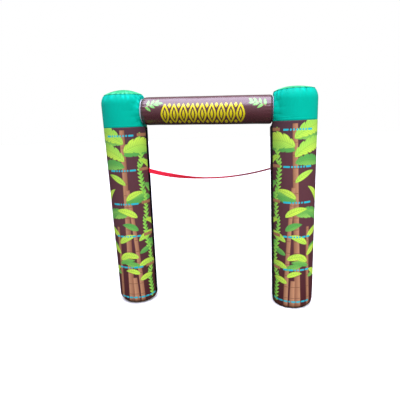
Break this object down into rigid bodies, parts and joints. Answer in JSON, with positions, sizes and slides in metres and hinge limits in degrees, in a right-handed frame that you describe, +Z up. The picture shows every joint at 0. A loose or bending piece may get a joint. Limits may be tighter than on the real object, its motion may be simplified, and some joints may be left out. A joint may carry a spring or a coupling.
{
  "type": "inflatable limbo game",
  "caption": "Inflatable limbo arch: printed posts with plain caps, a crossbar between them and a webbing strap hung from loop strips to pass under.",
  "frame": {"origin": "on the ground, at the centre of the bounding box, midway between the posts", "axes": "+Z up, X along the crossbar, -Y towards the front"},
  "size_m": [1.8593, 0.3894, 1.962],
  "materials": {
    "printed_cloth": "coated cloth, plum brown with a leaf print",
    "teal_cloth": "coated cloth, satin",
    "green_cloth": "coated cloth, satin",
    "plum_cloth": "coated cloth, satin with a printed band",
    "pale_welt": "woven binding",
    "loop_tape": "matt loop pile",
    "red_webbing": "woven webbing"
  },
  "bodies": {
    "root": {"left_tube": "printed_cloth", "right_tube": "printed_cloth", "left_cap": "teal_cloth", "right_cap": "teal_cloth", "left_crown": "green_cloth", "right_crown": "green_cloth", "crossbar": "plum_cloth", "left_bar_seam": "pale_welt", "right_bar_seam": "pale_welt", "left_loop_strip": "loop_tape", "right_loop_strip": "loop_tape", "strap": "red_webbing"}
  },
  "joints": []
}
